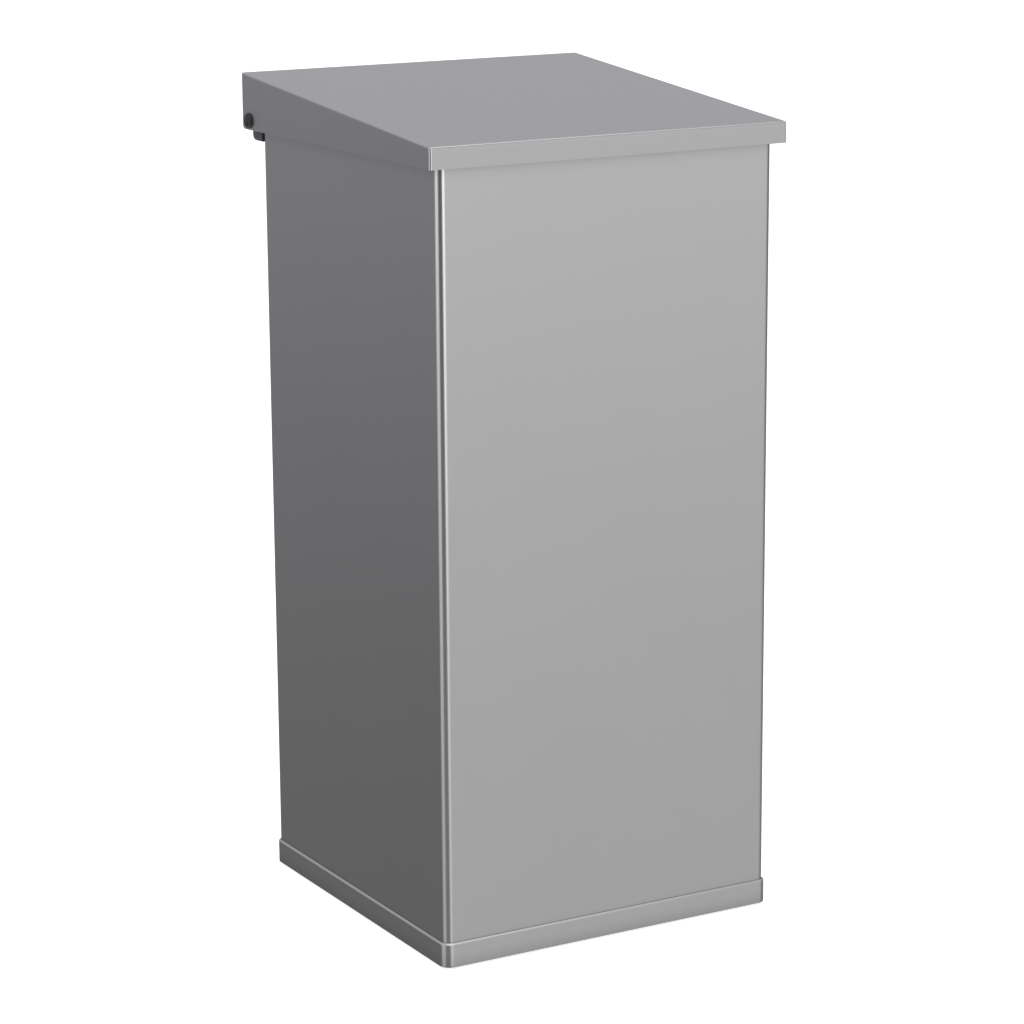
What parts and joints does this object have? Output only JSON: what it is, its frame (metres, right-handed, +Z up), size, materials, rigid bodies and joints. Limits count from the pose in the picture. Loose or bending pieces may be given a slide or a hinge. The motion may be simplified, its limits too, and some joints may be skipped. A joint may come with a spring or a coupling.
{
  "type": "lift-lid waste bin",
  "caption": "Free-standing square waste bin in folded sheet metal, with a plinth, a removable-bag mouth and a sloping lid hinged at the back.",
  "frame": {"origin": "on the floor, under the middle of the bin's outline seen from above", "axes": "+X to the right along the front, +Y towards the hinge at the back, +Z up; the front faces -Y"},
  "size_m": [0.3256, 0.3232, 0.6759],
  "materials": {
    "body_grey": "semi-gloss aluminium-grey paint",
    "lid_grey": "semi-gloss aluminium-grey paint",
    "plinth_grey": "semi-gloss aluminium-grey paint",
    "frame_grey": "semi-gloss aluminium-grey paint",
    "ring_steel": "plain bright sheet",
    "zinc_steel": "zinc plated",
    "rod_steel": "drawn bar",
    "rivet_aluminium": "plain, set",
    "insert_brass": "turned",
    "black_nylon": "moulded, satin",
    "black_rubber": "moulded"
  },
  "bodies": {
    "bin": {"base_tray": "plinth_grey", "foot_front_left": "black_rubber", "foot_front_right": "black_rubber", "foot_rear_left": "black_rubber", "foot_rear_right": "black_rubber", "base_rivets": "rivet_aluminium", "body_wrap": "body_grey", "rear_panel": "body_grey", "seam_rivets": "rivet_aluminium", "top_frame": "frame_grey", "frame_rivets": "rivet_aluminium", "bag_ring": "ring_steel", "lid_buffer_left": "black_rubber", "lid_buffer_right": "black_rubber", "hinge_block_left": "black_nylon", "hinge_block_right": "black_nylon", "hinge_inserts": "insert_brass", "hinge_plate_left": "zinc_steel", "hinge_plate_right": "zinc_steel", "hinge_screws": "zinc_steel"},
    "lid": {"lid_panel": "lid_grey", "lid_bush_left": "black_nylon", "lid_bush_right": "black_nylon", "hinge_rod": "rod_steel", "rod_cap_left": "black_nylon", "rod_cap_right": "black_nylon"}
  },
  "joints": [
    {"name": "lid_hinge", "type": "hinge", "parent": "bin", "child": "lid", "pos_m": [0, 0.1482, 0.6375], "axis": [-1, 0, 0], "range_deg": [0, 105]}
  ]
}
